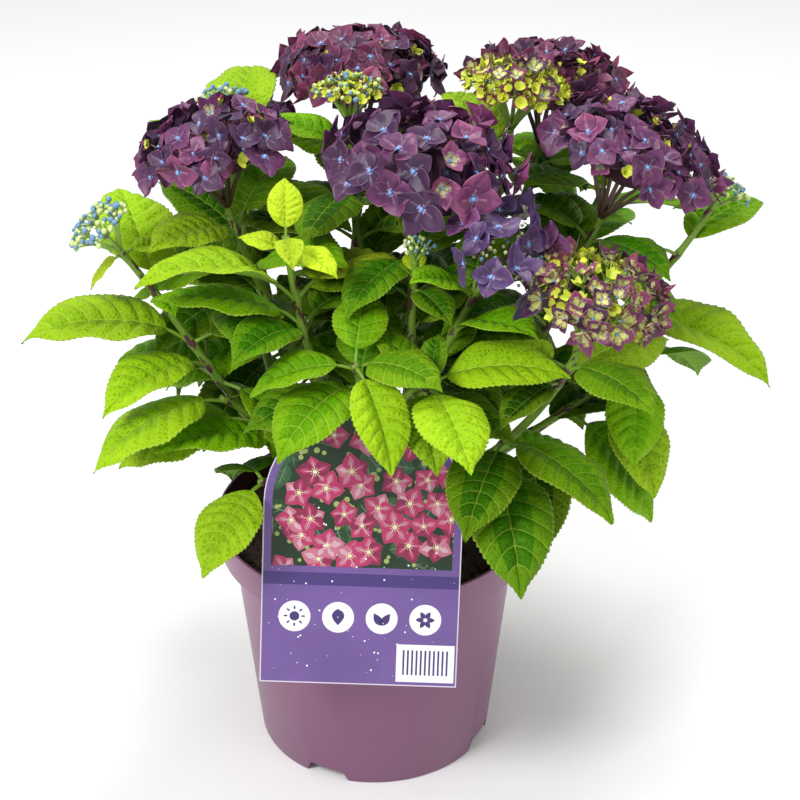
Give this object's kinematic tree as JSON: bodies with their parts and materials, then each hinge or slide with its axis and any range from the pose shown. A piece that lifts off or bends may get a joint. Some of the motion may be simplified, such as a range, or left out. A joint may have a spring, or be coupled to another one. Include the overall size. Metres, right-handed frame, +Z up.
{
  "type": "potted hydrangea shrub",
  "caption": "Compact mophead hydrangea in bloom in a round tapering plastic nursery pot, with an upright arched card label hooked over the rim.",
  "frame": {"origin": "centre of the pot's flat underside, on the ground", "axes": "+Z up, -Y towards the card label and the front of the plant, +X to its right"},
  "size_m": [0.5211, 0.4479, 0.513],
  "materials": {
    "pot": "moulded plastic, mauve, lightly glossy, dark wine inside",
    "soil": "dark peaty potting compost with fibres",
    "label": "printed plastic card, purple, satin",
    "stem_wood": "rough pale brown bark",
    "cane_bark": "green young wood with dark flecks, browner at the foot",
    "foliage": "leaves, satin above and duller below",
    "flower_purple": "soft matt sepals, wine purple to mauve",
    "flower_young": "soft sepals, yellow-green flushed purple at their ends",
    "flower_violet": "soft sepals, blue violet, round tiny blue buds"
  },
  "bodies": {
    "root": {"pot": "pot", "soil": "soil", "plant_label": "label", "woody_stem": "stem_wood", "cane_front_middle": "cane_bark", "foliage_front_middle": "foliage", "cane_front_right_low": "cane_bark", "foliage_front_right_low": "foliage", "cane_front_left_young": "cane_bark", "foliage_front_left_young": "foliage", "cane_right_front": "cane_bark", "foliage_right_front": "foliage", "cane_left_bud": "cane_bark", "foliage_left_bud": "foliage", "cane_right_bud": "cane_bark", "foliage_right_bud": "foliage", "cane_right": "cane_bark", "foliage_right": "foliage", "cane_left": "cane_bark", "foliage_left": "foliage", "cane_centre": "cane_bark", "foliage_centre": "foliage", "cane_front_bud": "cane_bark", "foliage_front_bud": "foliage", "cane_front_violet": "cane_bark", "foliage_front_violet": "foliage", "cane_rear_right_young": "cane_bark", "foliage_rear_right_young": "foliage", "cane_rear_middle_young": "cane_bark", "foliage_rear_middle_young": "foliage", "cane_rear": "cane_bark", "foliage_rear": "foliage", "cane_rear_right": "cane_bark", "foliage_rear_right": "foliage", "cane_rear_left_bud": "cane_bark", "foliage_rear_left_bud": "foliage", "cane_back_left": "cane_bark", "foliage_back_left": "foliage", "cane_back_right": "cane_bark", "foliage_back_right": "foliage", "cane_back_right_low": "cane_bark", "foliage_back_right_low": "foliage", "cane_left_low": "cane_bark", "foliage_left_low": "foliage", "cane_front_left_low": "cane_bark", "foliage_front_left_low": "foliage", "cane_right_low": "cane_bark", "foliage_right_low": "foliage", "flower_head_right_front": "flower_young", "flower_head_right": "flower_purple", "flower_head_left": "flower_purple", "flower_head_centre": "flower_purple", "flower_head_front_violet": "flower_violet", "flower_head_rear_right_young": "flower_young", "flower_head_rear": "flower_purple", "flower_head_rear_right": "flower_purple", "flower_head_back_left": "flower_purple", "flower_head_back_right": "flower_purple"}
  },
  "joints": []
}
